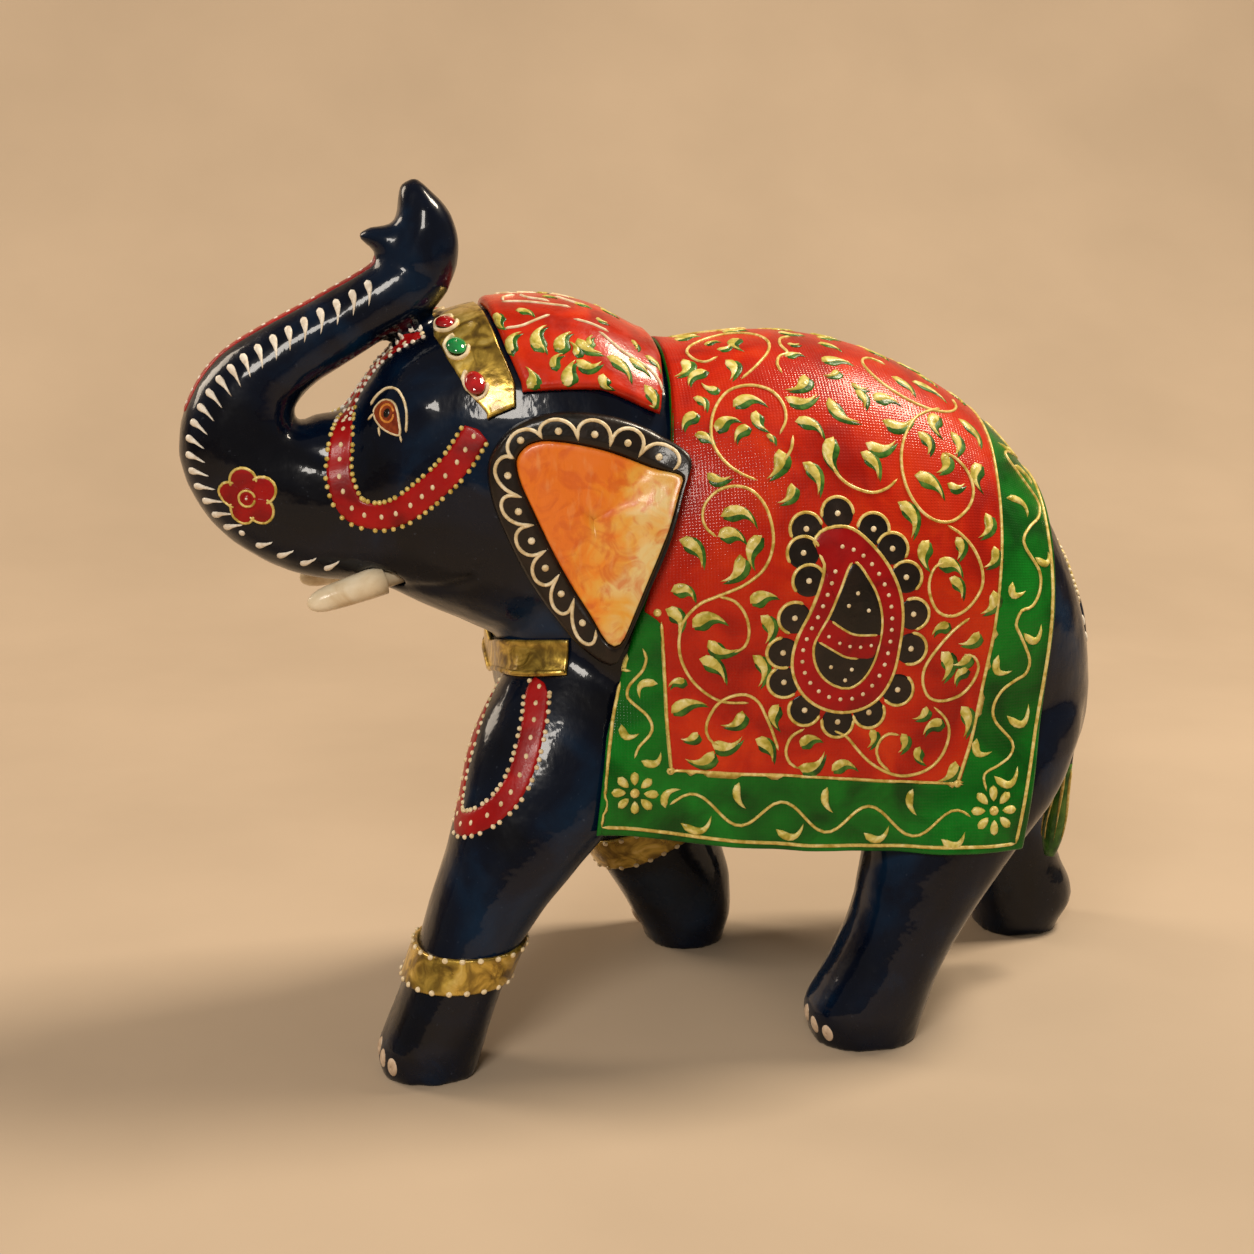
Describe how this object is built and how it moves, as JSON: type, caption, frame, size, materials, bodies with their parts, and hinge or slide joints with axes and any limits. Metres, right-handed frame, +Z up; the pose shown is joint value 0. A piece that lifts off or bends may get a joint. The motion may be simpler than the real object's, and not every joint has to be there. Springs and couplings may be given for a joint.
{
  "type": "carved wooden elephant statuette",
  "caption": "Carved and hand-painted wooden elephant, walking with its trunk raised, wearing a painted saddle cloth, a cap and gilded bands.",
  "frame": {"origin": "on the ground under the middle of the bounding box", "axes": "+Z up; the elephant faces -X; its left side faces -Y"},
  "size_m": [0.2324, 0.1006, 0.202],
  "materials": {
    "black_lacquer": "blue-black gloss lacquer on carved wood",
    "red_paint": "vermilion painted canvas, varnished",
    "cap_paint": "vermilion paint, varnished",
    "gilt_paint": "mottled gilt paint on thin metal strip",
    "ear_paint": "brushed orange to cream paint, satin varnish",
    "ivory_paint": "ivory coloured gloss paint",
    "red_stone": "polished red glass stone",
    "green_stone": "polished green glass stone"
  },
  "bodies": {
    "root": {"body": "black_lacquer", "saddle_cloth": "red_paint", "head_cap": "cap_paint", "headband": "gilt_paint", "collar": "gilt_paint", "anklet_left": "gilt_paint", "anklet_right": "gilt_paint", "ear_left": "ear_paint", "ear_right": "ear_paint", "tusk_left": "ivory_paint", "tusk_right": "ivory_paint", "stone_left_1": "red_stone", "stone_left_2": "green_stone", "stone_left_3": "red_stone", "stone_right_1": "red_stone", "stone_right_2": "green_stone", "stone_right_3": "red_stone", "tail": "black_lacquer"}
  },
  "joints": []
}
